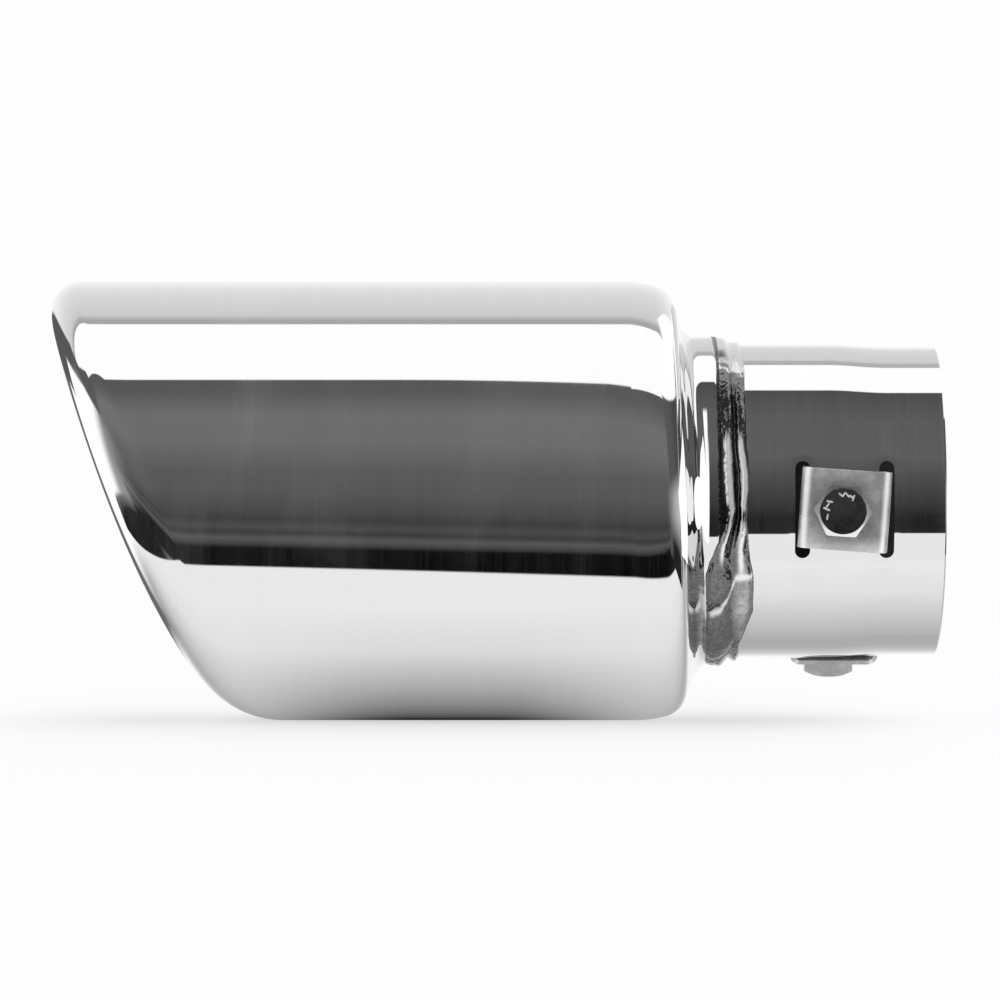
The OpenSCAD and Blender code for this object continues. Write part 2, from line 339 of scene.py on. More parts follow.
def cut_away(piece, cutters):
    """Takes closed cutter pieces out of a piece, and removes the cutters."""
    for cutter in cutters:
        cut = piece.modifiers.new("cut", "BOOLEAN")
        cut.operation = "DIFFERENCE"
        cut.solver = "EXACT"
        cut.object = cutter
    apply_modifiers(piece)
    for cutter in cutters:
        mesh = cutter.data
        bpy.data.objects.remove(cutter)
        bpy.data.meshes.remove(mesh)


def join(name, pieces):
    """Puts several pieces into one mesh, in the order given."""
    first = pieces[0]
    with bpy.context.temp_override(active_object=first, object=first,
                                   selected_editable_objects=pieces, selected_objects=pieces):
        bpy.ops.object.join()
    first.name = name
    first.data.name = name
    return first


def tube_piece(name, rows):
    """Closed rows of points, joined each to the next, with a flat cap on the first and the last.
    Rows turn anticlockwise seen from their far end, so that the faces point outwards."""
    count, size = rows.shape[:2]
    i, j = np.meshgrid(np.arange(count - 1), np.arange(size), indexing="ij")
    j2 = (j + 1) % size
    sides = np.stack([i * size + j, i * size + j2, (i + 1) * size + j2, (i + 1) * size + j], -1)
    first_cap = np.arange(size)[::-1][None, :]
    last_cap = np.arange(size)[None, :] + (count - 1) * size
    return make_mesh(name, rows.reshape(-1, 3), [sides.reshape(-1, 4), first_cap, last_cap])


def at_clamp(points, angle, turn=0.0):
    """Places points given with the clamp's own +Z outwards: a turn about that axis, then the tilt
    (y, z) -> (y sin a - z cos a, y cos a + z sin a), then the shift along the neck."""
    x = points[..., 0] * math.cos(turn) - points[..., 1] * math.sin(turn)
    y = points[..., 0] * math.sin(turn) + points[..., 1] * math.cos(turn)
    z = points[..., 2]
    return np.stack([x - CLAMP_STATION,
                     y * math.sin(angle) - z * math.cos(angle),
                     y * math.cos(angle) + z * math.sin(angle)], -1)


def outline_cutter(name, outline, low, high, angle, turn=0.0):
    """An upright prism on a flat outline, placed at a clamp."""
    rows = np.stack([np.column_stack([outline, np.full(len(outline), z)]) for z in (low, high)])
    return tube_piece(name, at_clamp(rows, angle, turn))


def slot_outline(centre):
    """A straight slot with round ends, anticlockwise, its length along the clamp's own Y."""
    reach = (SLOT_LENGTH - SLOT_WIDTH) / 2
    a = np.linspace(0, np.pi, 25)
    top = np.stack([centre + SLOT_WIDTH / 2 * np.cos(a), reach + SLOT_WIDTH / 2 * np.sin(a)], -1)
    return np.concatenate([top, np.array([2 * centre, 0]) - top])


def circle_outline(radius, steps=96):
    """Points round a circle, anticlockwise."""
    a = 2 * np.pi * np.arange(steps) / steps
    return np.stack([radius * np.cos(a), radius * np.sin(a)], -1)


def neck_radius(x):
    """Outside radius of the neck: the straight end, a soft taper, then the straight main stretch."""
    share = smooth_step(-x, NECK_END_LENGTH, NECK_END_LENGTH + NECK_TAPER_LENGTH)
    return NECK_END_R + (NECK_R - NECK_END_R) * share


def clamp_dents(x, angles):
    """What punching and folding did to the neck's sheet: it is drawn in along each slot's rim,
    and stands a little proud past the slots' ends. Both fall off as exp(-(distance / reach)^2)."""
    rim_depth, rim_reach = 0.22 * MM, 0.9 * MM
    swell, swell_reach, swell_past = 0.28 * MM, 2.2 * MM, 1.2 * MM
    total = np.zeros(np.broadcast_shapes(x.shape, angles.shape))
    reach = (SLOT_LENGTH - SLOT_WIDTH) / 2
    for clamp in (SIDE_ANGLE, LOWER_ANGLE):
        off = angles - (math.pi / 2 - clamp)
        y = NECK_R * np.sin(off)
        near = np.cos(off) > 0
        for side in (-1, 1):
            t = x + CLAMP_STATION - side * SLOT_SPACING / 2
            past = np.maximum(np.abs(y) - reach, 0)
            away = np.maximum(np.hypot(t, past) - SLOT_WIDTH / 2, 0)
            dent = -rim_depth * np.exp(-(away / rim_reach) ** 2)
            beyond = np.hypot(t + side * 0.6 * MM, np.abs(y) - reach - SLOT_WIDTH / 2 - swell_past)
            total = total + near * (dent + swell * np.exp(-(beyond / swell_reach) ** 2))
    return total


def make_inlet_neck():
    """The neck's tube: outer and inner skin of one sheet, fine round the clamps, with the slots
    and the holes for the thread collars cut through it."""
    coarse = np.arange(240) * 1.5
    fine = np.concatenate([math.degrees(math.pi / 2 - clamp) + np.arange(-26, 26, 0.5)
                           for clamp in (SIDE_ANGLE, LOWER_ANGLE)])
    apart = np.abs((coarse[:, None] - fine[None, :] + 180) % 360 - 180).min(1)
    angles = np.radians(np.sort(np.concatenate([coarse[apart > 0.8], fine % 360])))
    edge = 0.25 * MM
    fine_x = np.arange(-32, -8, 0.3) * MM
    x_out = np.concatenate([np.linspace(-NECK_LENGTH + edge, -33 * MM, 20), fine_x,
                            np.linspace(-8 * MM, -edge, 12)])
    x_in = np.concatenate([[0.0], np.linspace(-edge, -8 * MM, 6), fine_x[::-3],
                           np.linspace(-33 * MM, -NECK_LENGTH + edge, 10), [-NECK_LENGTH]])
    ring = np.ones((len(angles), 1))
    a = angles[:, None]
    dents = clamp_dents(x_out[None, :], a)
    outer = ring * neck_radius(x_out) + dents
    inner = ring * (neck_radius(x_in) - NECK_WALL) + clamp_dents(x_in[None, :], a)
    inner[:, [0, -1]] += edge
    lips = ring * (neck_radius(x_out[[-1, 0]]) - edge)
    x = np.concatenate([ring * x_out, ring * 0.0, ring * x_in, ring * -NECK_LENGTH], 1)
    r = np.concatenate([outer, lips[:, :1], inner, lips[:, 1:]], 1)
    piece = ring_piece("inlet_neck_tube", angles, x[:, ::-1], r[:, ::-1])
    cutters = []
    for clamp in (SIDE_ANGLE, LOWER_ANGLE):
        for side in (-1, 1):
            outline = slot_outline(side * SLOT_SPACING / 2)
            cutters.append(outline_cutter("slot_cutter", outline, NECK_R / 2, 2 * NECK_R, clamp))
        hole = circle_outline(THREAD_COLLAR_R + HOLE_GAP) - (BOLT_OFFSET, 0)
        cutters.append(outline_cutter("hole_cutter", hole, NECK_R / 2, 2 * NECK_R, clamp))
    cut_away(piece, cutters)
    set_sharp(piece, 35)
    return piece


def add_tone(piece, values):
    """Stores a number for each point as the attribute "tone": 1 is bright, 0 is dark. It carries painted
    highlights and painted light and shade as well as the metal's own tone.
    """
    tone = piece.data.attributes.new("tone", "FLOAT", "POINT")
    tone.data.foreach_set("value", np.ascontiguousarray(values, dtype=np.float32).ravel())


def round_tip(degrees, stops):
    """A length that runs in straight steps round the tip through stops in degrees and millimetres."""
    angles, lengths = zip(*stops)
    return np.interp(degrees, angles, lengths, period=360) * MM


def pool(q, degrees, place):
    """A frozen pool of weld metal: the square root of 1 - d^2, where d is 1 on its rim."""
    centre, half_angle, centre_q, half_q = place
    d2 = ((degrees - centre) / half_angle) ** 2 + ((q - centre_q * MM) / (half_q * MM)) ** 2
    return np.sqrt(np.maximum(1 - d2, 0))


def hill(distance, width):
    """exp(-(distance / width)^2), both in one unit."""
    return np.exp(-(distance / width) ** 2)


def weld_blob(degrees):
    """1 where the blob is, low on the side, and 0 away from it."""
    return smooth_step(degrees, 106, 115) * (1 - smooth_step(degrees, 160, 172))


def weld_relief(q, degrees, first, second, craggy, fine):
    """Height over the fall from collar to neck: two ridges with a groove between them, or in the
    blob the highest of three frozen pools, plus noise that is coarsest where scale lies."""
    blob = weld_blob(degrees)
    groove = q - (round_tip(degrees, FIRST_RIDGE) + round_tip(degrees, SECOND_RIDGE)) / 2
    low_top = 1 - 0.6 * (1 - smooth_step(degrees, 34, 60)) - 0.6 * smooth_step(degrees, 310, 330)
    ridges = (1 - blob) * low_top * (0.55 * hill(first, 0.85 * MM) + 0.65 * hill(second, 0.8 * MM)
                                     - 0.55 * hill(groove, 0.5 * MM))
    inner_pools = np.maximum(0.75 * pool(q, degrees, UPPER_POOL), 0.85 * pool(q, degrees, LOWER_POOL))
    pools = np.maximum(inner_pools, 0.75 * pool(q, degrees, RIM_POOL))
    scale = smooth_step(degrees + 4 * craggy, 35.5, 38.5) * (1 - smooth_step(degrees, 60, 72))
    rough = 0.03 * craggy + 0.03 * fine + scale * (0.10 * craggy + 0.06 * fine) + blob * 0.06 * craggy
    return (ridges + blob * pools + rough) * MM


def weld_tone(q, degrees, first, second, craggy, fine):
    """How bright the weld is painted: painted highlights as streaks on the crests of both ridges, a pale
     top that is a painted reflection, and in the blob painted highlights on the pool on its rim and along
     the crease between the two others. Scale is dark."""
    # Painted highlights: the streaks on the ridges' crests, on the far side's crests, on the blob's rim
    # pool and along its crease. The pale top is a painted reflection of the light above.
    front_side = smooth_step(degrees, 62, 71)
    first_width = round_tip(degrees, ((64, 0.5), (76, 0.85), (90, 0.75), (96, 0.3), (110, 0.35)))
    first_tone = 0.9 * front_side * (1 - smooth_step(degrees, 108, 114)) * hill(first, first_width)
    second_tone = front_side * (1 - smooth_step(degrees, 112, 120)) * hill(second, 0.55 * MM)
    second_tone = second_tone * (1 - 0.8 * hill(degrees - 95.5, 2.5))
    top = (1 - smooth_step(degrees + 4 * craggy, 35.5, 38.5)) + smooth_step(degrees, 300, 325)
    dark_spot = hill(degrees - 28, 4) * hill(q - 0.7 * MM, 1.1 * MM)
    far_side = smooth_step(degrees, 165, 185) * (1 - smooth_step(degrees, 300, 325))
    far_tone = 0.5 * far_side * (hill(first, 0.7 * MM) + hill(second, 0.6 * MM))
    rim_tone = 0.42 * pool(q, degrees, RIM_POOL) ** 2 * (0.8 + 0.35 * craggy)
    crease_at = np.interp(q / MM, (-2, 0.1, 1.3, 3), (132, 130.5, 127, 118))
    crease_tone = 0.75 * hill(degrees - crease_at, 1.3) * smooth_step(q, -2.4 * MM, -1.6 * MM)
    return (0.14 + first_tone + second_tone + 0.62 * top * (1 - dark_spot) + far_tone
            + weld_blob(degrees) * (rim_tone + crease_tone) + 0.05 * fine)


def make_weld_bead():
    """The bead: x runs from its edge on the collar to its edge on the neck, and its radius is a
     fall between them plus the relief. It closes under itself along the collar's edge. Its
     attribute "tone" is near 1 where highlights and reflections are painted bright and near 0 in
     dark scale."""
    rings, across = 1260, 66
    angles = 2 * np.pi * np.arange(rings) / rings
    a = angles[:, None]
    degrees = np.degrees(a)
    t = np.linspace(0, 1, across)[None, :]
    round_a = np.stack([np.zeros_like(a), 9 * np.sin(a), 9 * np.cos(a)], -1)
    wander = layered_noise(round_a, 2.2)
    jagged = layered_noise(round_a, 0.5)
    front = -COLLAR_END + round_tip(degrees, WELD_FRONT) + 0.12 * MM * jagged
    back = -COLLAR_END + round_tip(degrees, WELD_BACK) + (0.06 * wander + 0.08 * jagged) * MM
    x = front + t * (back - front)
    q = x + COLLAR_END
    first = q - round_tip(degrees, FIRST_RIDGE) - 0.08 * MM * jagged
    second = q - round_tip(degrees, SECOND_RIDGE) - 0.08 * MM * jagged
    place = np.stack([x, -NECK_R * np.sin(a) * np.ones_like(x), NECK_R * np.cos(a) * np.ones_like(x)], -1)
    craggy = layered_noise(place, 1.3 * MM)
    fine = layered_noise(place, 0.45 * MM)
    low_edge = NECK_R + 0.02 * MM
    high_edge = COLLAR_OUT_R + 0.02 * MM
    base = high_edge + (low_edge - high_edge) * smooth_step(q, -1.2 * MM, 5.4 * MM)
    window = smooth_step(t, 0, 0.12) * (1 - smooth_step(t, 0.88, 1))
    radius = base + window * weld_relief(q, degrees, first, second, craggy, fine)
    radius = np.maximum(radius, np.where(x < -COLLAR_END, high_edge, low_edge))
    tone = np.clip(weld_tone(q, degrees, first, second, craggy, fine), 0, 1)
    ones = np.ones((rings, 1))
    inner_x = ones * (-COLLAR_END + 0.02 * MM)
    x = np.concatenate([x, inner_x, inner_x], 1)
    radius = np.concatenate([radius, ones * low_edge, ones * high_edge], 1)
    tone = np.concatenate([tone, ones * 0, ones * 0], 1)
    piece = ring_piece("weld_bead_ring", angles, x[:, ::-1], radius[:, ::-1])
    add_tone(piece, tone[:, ::-1])
    return piece


def bent_path(corners, bend_r, bend_steps=14):
    """A path of straight stretches whose corners are arcs of one radius: each arc starts and ends
    r tan(turn / 2) from its corner. Gives points and the unit normals on the left of the path."""
    points, normals = [], []
    for k, corner in enumerate(corners):
        before = corner - corners[max(k - 1, 0)]
        after = corners[min(k + 1, len(corners) - 1)] - corner
        if k in (0, len(corners) - 1):
            d = (after if k == 0 else before) / np.linalg.norm(after if k == 0 else before)
            points.append(corner[None, :])
            normals.append(np.array([[-d[1], d[0]]]))
            continue
        d0, d1 = before / np.linalg.norm(before), after / np.linalg.norm(after)
        turn = math.atan2(d0[0] * d1[1] - d0[1] * d1[0], d0 @ d1)
        side = math.copysign(1, turn)
        start = corner - d0 * bend_r * math.tan(abs(turn) / 2)
        n0 = np.array([-d0[1], d0[0]])
        centre = start + side * bend_r * n0
        a = np.linspace(0, turn, bend_steps)
        n = np.stack([n0[0] * np.cos(a) - n0[1] * np.sin(a), n0[0] * np.sin(a) + n0[1] * np.cos(a)], -1)
        points.append(centre - side * bend_r * n)
        normals.append(n)
    return np.concatenate(points), np.concatenate(normals)


def rounded_rectangle(width, height, radius, steps=5):
    """Outline of a rectangle with round corners, anticlockwise."""
    parts = []
    for k, (sx, sy) in enumerate(((1, 1), (-1, 1), (-1, -1), (1, -1))):
        a = np.linspace(k, k + 1, steps) * math.pi / 2
        centre = np.array([sx * (width / 2 - radius), sy * (height / 2 - radius)])
        parts.append(centre + radius * np.stack([np.cos(a), np.sin(a)], -1))
    return np.concatenate(parts)


def make_clip(name, angle, turn):
    """A clip: a rounded strip section carried along the folded path foot, leg, plate, leg, foot,
    with a hole and a drawn collar for the bolt in its plate."""
    mid = CLIP_BEND_R - CLIP_T / 2
    half = CLIP_SPAN / 2 - CLIP_T / 2
    top = NECK_R + CLIP_T / 2
    inner = NECK_END_R - NECK_WALL
    foot = math.sqrt(inner ** 2 - (CLIP_WIDTH / 2) ** 2) - FOOT_GAP - CLIP_T / 2
    reach = CLIP_SPAN / 2 - CLIP_BEND_R - FOOT_LENGTH
    corners = np.array([[reach, foot], [half, foot], [half, top], [-half, top], [-half, foot],
                        [-reach, foot]])
    path, normal = bent_path(corners, mid)
    section = rounded_rectangle(CLIP_WIDTH, CLIP_T, 0.28 * MM)
    rows = np.stack([path[:, None, 0] + normal[:, None, 0] * section[None, :, 1],
                     np.broadcast_to(section[None, :, 0], (len(path), len(section))),
                     path[:, None, 1] + normal[:, None, 1] * section[None, :, 1]], -1)
    strip = tube_piece(name, at_clamp(rows, angle, turn))
    # Painted highlight: the strip is painted bright along its bends, where they would catch the light.
    bend_highlight = hill(np.abs(normal[:, :1]) - 0.45, 0.28)
    add_tone(strip, bend_highlight * np.ones(rows.shape[:2]))
    hole = outline_cutter("clip_cutter", circle_outline(THREAD_HOLE_R + 0.4 * MM) - (BOLT_OFFSET, 0),
                          NECK_R - CLIP_T, NECK_R + 2 * CLIP_T, angle, turn)
    cut_away(strip, [hole])
    steps = 72
    round_r, low, high = 0.4 * MM, NECK_R - THREAD_COLLAR_DEPTH, NECK_R + CLIP_T
    a = np.linspace(math.pi / 2, math.pi, 6)
    profile = np.concatenate([
        np.stack([THREAD_HOLE_R + round_r + round_r * np.cos(a), high - round_r + round_r * np.sin(a)], -1),
        [[THREAD_HOLE_R, low + 0.2 * MM], [THREAD_HOLE_R + 0.2 * MM, low],
         [THREAD_COLLAR_R - 0.2 * MM, low], [THREAD_COLLAR_R, low + 0.2 * MM],
         [THREAD_COLLAR_R, NECK_R - 0.3 * MM], [THREAD_COLLAR_R + 0.5 * MM, NECK_R + 0.1 * MM],
         [THREAD_HOLE_R + round_r + 0.1 * MM, NECK_R + 0.1 * MM]]])
    spin = 2 * np.pi * np.arange(steps) / steps
    ring = np.stack([profile[None, :, 0] * np.cos(spin)[:, None] - BOLT_OFFSET,
                     profile[None, :, 0] * np.sin(spin)[:, None],
                     np.broadcast_to(profile[None, :, 1], (steps, len(profile)))], -1)
    collar = make_mesh(name + "_collar", at_clamp(ring, angle, turn).reshape(-1, 3),
                       [ring_faces(steps, len(profile))])
    clip = join(name, [strip, collar])
    set_sharp(clip, 40)
    return clip


def head_marks(rho, a):
    """Raised strokes on the bolt's head: short rounded bars set round the upper left of its face,
    each of height h sqrt(1 - (distance / half width)^2) where that is above 0."""
    x, y = rho * np.cos(a), rho * np.sin(a)
    total = np.zeros(np.broadcast_shapes(rho.shape, a.shape))
    for degrees, lean, half_length in HEAD_STROKES:
        centre, lean_a = math.radians(degrees), math.radians(degrees + lean)
        dx, dy = x - STROKE_RADIUS * math.cos(centre), y - STROKE_RADIUS * math.sin(centre)
        along = dx * math.cos(lean_a) + dy * math.sin(lean_a)
        across = -dx * math.sin(lean_a) + dy * math.cos(lean_a)
        d = np.hypot(np.maximum(np.abs(along) - half_length * MM, 0), across) / STROKE_HALF_WIDTH
        total = np.maximum(total, STROKE_HEIGHT * np.sqrt(np.maximum(1 - d ** 2, 0)))
    return total


def make_bolt(name, angle, clip_turn, head_turn):
    """A hexagon bolt as rows of points from the middle of its head's face to its tip. The head's
     radius is flats / 2 / cos(angle from the middle of a flat), its chamfer is a cone, and the
     thread's radius falls and rises once in each pitch along a helix. Its attribute "tone" is 1 on
     the strokes, 0 on the head's face and between them on the chamfer, where it is painted light
     and shade: paler on one side of the head and darker on the other."""
    size = 144
    a = 2 * np.pi * np.arange(size)[None, :] / size
    ones = np.ones_like(a)
    flat = np.mod(a, math.pi / 3) - math.pi / 6
    hexagon = np.minimum(BOLT_FLATS / 2 / np.cos(flat), 0.985 * BOLT_FLATS / 2 / math.cos(math.pi / 6))
    under = NECK_R + CLIP_T + HEAD_GAP
    drop = math.tan(CHAMFER_SLOPE)
    rho_face = np.linspace(0.03, 1, 34)[:, None] * HEAD_TOP_R
    face_z = BOLT_HEAD_H + head_marks(rho_face, a)
    dish = -0.12 * MM * smooth_step(rho_face, 0.93 * HEAD_TOP_R, 0.55 * HEAD_TOP_R)
    rho_cone = HEAD_TOP_R + (hexagon - HEAD_TOP_R) * np.linspace(0.12, 0.94, 6)[:, None]
    edge_z = BOLT_HEAD_H - (hexagon - HEAD_TOP_R) * drop
    side_share = np.array([0.02, 0.06, 0.5, 0.95, 1.0])[:, None]
    side_z = edge_z - 0.06 * MM - side_share * (edge_z - 0.06 * MM - WASHER_H)
    length = BOLT_LENGTH - 0.8 * MM
    thread_rows = int(12 * length / BOLT_PITCH)
    down = -np.linspace(0, 1, thread_rows)[:, None] * length
    phase = np.mod(down / BOLT_PITCH + a / (2 * math.pi), 1)
    depth = THREAD_DEPTH * smooth_step(-down, 0.6 * MM, 1.6 * MM) * (1 - np.abs(2 * phase - 1))
    rows = [
        (rho_face * ones, face_z + dish),
        (rho_cone, BOLT_HEAD_H - (rho_cone - HEAD_TOP_R) * drop),
        (hexagon - 0.02 * MM, edge_z + 0.01 * MM),
        (hexagon * np.ones_like(side_share), side_z),
        (WASHER_R * ones, WASHER_H * ones),
        (WASHER_R * ones, 0.05 * MM * ones),
        ((WASHER_R - 0.05 * MM) * ones, 0 * ones),
        ((BOLT_SHANK_R + 0.15 * MM) * ones, 0 * ones),
        (BOLT_SHANK_R - depth, (down - 0.05 * MM) * ones),
        ((BOLT_SHANK_R - 0.9 * MM) * ones, -BOLT_LENGTH * ones),
        ((BOLT_SHANK_R - 1.1 * MM) * ones, -BOLT_LENGTH * ones),
    ]
    rho = np.concatenate([r for r, _ in rows])
    z = np.concatenate([h for _, h in rows]) + under
    points = np.stack([rho * np.cos(a + head_turn) - BOLT_OFFSET, rho * np.sin(a + head_turn), z], -1)
    bolt = tube_piece(name, at_clamp(points[::-1], angle, clip_turn))
    marks = head_marks(rho_face, a) / STROKE_HEIGHT
    others = np.full((len(rho) - len(marks), size), 0.35)
    # Painted light and shade on the chamfer: paler on one side of the head, darker on the opposite side.
    others[:len(rho_cone) + 1] = 0.6 - 0.3 * np.sin(a)
    add_tone(bolt, np.concatenate([marks, others])[::-1])
    set_sharp(bolt, 32)
    return bolt


inlet_tube = make_inlet_neck()
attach(inlet_tube, "tip")
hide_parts("inlet_neck")

weld = make_weld_bead()
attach(weld, "tip")
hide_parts("weld_bead")

side_clip = make_clip("side_clip_sheet", SIDE_ANGLE, SIDE_CLIP_TURN)
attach(side_clip, "tip")
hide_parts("side_clip")

lower_clip = make_clip("lower_clip_sheet", LOWER_ANGLE, 0)
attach(lower_clip, "tip")
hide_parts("lower_clip")

side_bolt = make_bolt("side_hex_bolt", SIDE_ANGLE, SIDE_CLIP_TURN, 0)
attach(side_bolt, "side_screw")
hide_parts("side_bolt")

lower_bolt = make_bolt("lower_hex_bolt", LOWER_ANGLE, 0, LOWER_BOLT_TURN)
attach(lower_bolt, "lower_screw")
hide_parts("lower_bolt")


def node(tree, kind, **settings):
    """A new shader node with its own settings; those of its sockets are given by name or number."""
    made = tree.nodes.new(kind)
    for key, value in settings.pop("sockets", {}).items():
        made.inputs[key].default_value = value
    for key, value in settings.items():
        setattr(made, key, value)
    return made


def feed(tree, value, socket):
    """Links an output to a socket, or sets the socket to a number."""
    if isinstance(value, bpy.types.NodeSocket):
        tree.links.new(value, socket)
    else:
        socket.default_value = value


def maths(tree, operation, *values):
    """One Math node on outputs or numbers."""
    made = node(tree, "ShaderNodeMath", operation=operation)
    for value, socket in zip(values, made.inputs):
        feed(tree, value, socket)
    return made.outputs[0]


def ramp(tree, value, start, end, low=0.0, high=1.0, smooth=True):
    """Maps a value from start..end to low..high, held outside that stretch."""
    made = node(tree, "ShaderNodeMapRange")
    made.interpolation_type = "SMOOTHSTEP" if smooth else "LINEAR"
    for number, socket in zip((value, start, end, low, high), made.inputs):
        feed(tree, number, socket)
    return made.outputs[0]


def noise(tree, vector, scale, detail=3.0, roughness=0.5, distortion=0.0):
    """A noise texture read at a vector, from 0 to 1."""
    made = node(tree, "ShaderNodeTexNoise", sockets={
        "Scale": scale, "Detail": detail, "Roughness": roughness, "Distortion": distortion})
    tree.links.new(vector, made.inputs["Vector"])
    return made.outputs["Fac"]


def stretched(tree, vector, scale):
    """A vector with each part multiplied by its own number."""
    made = node(tree, "ShaderNodeVectorMath", operation="MULTIPLY")
    tree.links.new(vector, made.inputs[0])
    feed(tree, scale, made.inputs[1])
    return made.outputs[0]


def new_group(name, inputs, outputs):
    """An empty shader node group with float inputs, given with their defaults, and float outputs."""
    group = bpy.data.node_groups.new(name, "ShaderNodeTree")
    for label, default in inputs.items():
        socket = group.interface.new_socket(name=label, in_out="INPUT", socket_type="NodeSocketFloat")
        socket.default_value = default
    for label in outputs:
        group.interface.new_socket(name=label, in_out="OUTPUT", socket_type="NodeSocketFloat")
    return group, group.nodes.new("NodeGroupInput").outputs, group.nodes.new("NodeGroupOutput").inputs


def polishing_lines_group():
    """Fine lines left by polishing round the axis: noise in object space, squeezed along the axis
    and stretched across it, in a fine and a coarse layer."""
    sizes = {"Fine lines": 2600.0, "Coarse lines": 500.0}
    group, given, out = new_group("polishing_lines", sizes, ["Lines"])
    place = node(group, "ShaderNodeTexCoord").outputs["Object"]
    layers = []
    for label, length in (("Fine lines", 60.0), ("Coarse lines", 18.0)):
        scale = node(group, "ShaderNodeCombineXYZ", sockets={1: length, 2: length})
        group.links.new(given[label], scale.inputs[0])
        layers.append(noise(group, stretched(group, place, scale.outputs[0]), 1.0, 4.0, 0.6))
    group.links.new(maths(group, "MULTIPLY_ADD", layers[0], 0.6,
                          maths(group, "MULTIPLY", layers[1], 0.4)), out["Lines"])
    return group


def wiping_marks_group():
    """Broad slanted smears left by wiping: distorted noise in object space, squeezed across the
    smears, and kept only where it is high."""
    group, given, out = new_group("wiping_marks", {"Size": 14.0}, ["Smears"])
    place = node(group, "ShaderNodeTexCoord").outputs["Object"]
    slant = node(group, "ShaderNodeMapping", sockets={
        "Rotation": (0.0, math.radians(28), 0.0), "Scale": (2.2, 1.0, 0.8)})
    group.links.new(place, slant.inputs["Vector"])
    cloud = node(group, "ShaderNodeTexNoise", sockets={"Detail": 4.0, "Roughness": 0.55, "Distortion": 0.6})
    group.links.new(slant.outputs[0], cloud.inputs["Vector"])
    group.links.new(given["Size"], cloud.inputs["Scale"])
    group.links.new(ramp(group, cloud.outputs["Fac"], 0.48, 0.72), out["Smears"])
    return group


def grain_group():
    """Small uneven grain in object space, for metal that isn't polished."""
    group, given, out = new_group("metal_grain", {"Size": 900.0}, ["Grain"])
    place = node(group, "ShaderNodeTexCoord").outputs["Object"]
    cloud = node(group, "ShaderNodeTexNoise", sockets={"Detail": 5.0, "Roughness": 0.62})
    group.links.new(place, cloud.inputs["Vector"])
    group.links.new(given["Size"], cloud.inputs["Scale"])
    group.links.new(cloud.outputs["Fac"], out["Grain"])
    return group


LINES = polishing_lines_group()
SMEARS = wiping_marks_group()
GRAIN = grain_group()


def placed(tree, group, **values):
    """A node group in a material, with its own values. Gives its first output."""
    made = node(tree, "ShaderNodeGroup", node_tree=group)
    for label, value in values.items():
        made.inputs[label.replace("_", " ")].default_value = value
    return made.outputs[0]


def grey(value):
    """A neutral colour of one brightness."""
    return (value, value, value)


def tint(tree, share, low, high):
    """A mix of two colours by a share. The first may be another node's output."""
    made = node(tree, "ShaderNodeMix", data_type="RGBA")
    feed(tree, share, made.inputs[0])
    feed(tree, low if isinstance(low, bpy.types.NodeSocket) else (*low, 1), made.inputs[6])
    made.inputs[7].default_value = (*high, 1)
    return made.outputs[2]


def metal(name):
    """A metal with an empty Principled shader: gives the material, its tree and the shader."""
    material = bpy.data.materials.new(name)
    material.use_nodes = True
    shader = material.node_tree.nodes["Principled BSDF"]
    shader.inputs["Metallic"].default_value = 1.0
    return material, material.node_tree, shader


def bump(tree, shader, height, distance, strength=1.0):
    """Fine relief from a height, in metres of distance."""
    made = node(tree, "ShaderNodeBump", sockets={"Strength": strength, "Distance": distance})
    tree.links.new(height, made.inputs["Height"])
    tree.links.new(made.outputs[0], shader.inputs["Normal"])


STEEL_TINTS = ((0.795, 0.80, 0.80), (0.82, 0.825, 0.825))


def polished_steel():
    """The body: a mirror with fine lines round the barrel and faint wiping marks."""
    material, tree, shader = metal("polished_steel")
    lines = placed(tree, LINES, Fine_lines=2600.0, Coarse_lines=420.0)
    smears = placed(tree, SMEARS, Size=14.0)
    share = ramp(tree, lines, 0.3, 0.7, smooth=False)
    tree.links.new(tint(tree, share, *STEEL_TINTS), shader.inputs["Base Color"])
    dull = maths(tree, "MULTIPLY_ADD", smears, 0.04, ramp(tree, lines, 0.40, 0.62, 0.0, 0.010))
    tree.links.new(maths(tree, "SUBTRACT", 1.0, dull), shader.inputs["Metallic"])
    rough = maths(tree, "MULTIPLY_ADD", smears, 0.02, ramp(tree, lines, 0.35, 0.7, 0.022, 0.04))
    tree.links.new(rough, shader.inputs["Roughness"])
    bump(tree, shader, lines, 0.0000008, 0.5)
    return material


def neck_steel():
    """The neck: the same steel with coarser lines and more wear, and dark and dull inside."""
    material, tree, shader = metal("neck_steel")
    lines = placed(tree, LINES, Fine_lines=2200.0, Coarse_lines=360.0)
    smears = placed(tree, SMEARS, Size=22.0)
    share = ramp(tree, lines, 0.3, 0.7, smooth=False)
    steel = tint(tree, share, *STEEL_TINTS)
    dull = maths(tree, "MULTIPLY_ADD", smears, 0.04, ramp(tree, lines, 0.40, 0.62, 0.0, 0.015))
    tree.links.new(maths(tree, "SUBTRACT", 1.0, dull), shader.inputs["Metallic"])
    place = node(tree, "ShaderNodeSeparateXYZ")
    tree.links.new(node(tree, "ShaderNodeTexCoord").outputs["Object"], place.inputs[0])
    _, y, z = place.outputs
    radius = maths(tree, "SQRT", maths(tree, "MULTIPLY_ADD", y, y, maths(tree, "MULTIPLY", z, z)))
    inside = ramp(tree, radius, NECK_R - 0.9 * MM, NECK_R - 1.1 * MM)
    tree.links.new(tint(tree, inside, steel, grey(0.10)), shader.inputs["Base Color"])
    rough = maths(tree, "MULTIPLY_ADD", smears, 0.04, ramp(tree, lines, 0.35, 0.7, 0.03, 0.055))
    rough = maths(tree, "MULTIPLY_ADD", inside, 0.4, rough)
    tree.links.new(rough, shader.inputs["Roughness"])
    bump(tree, shader, lines, 0.0000008, 0.5)
    return material


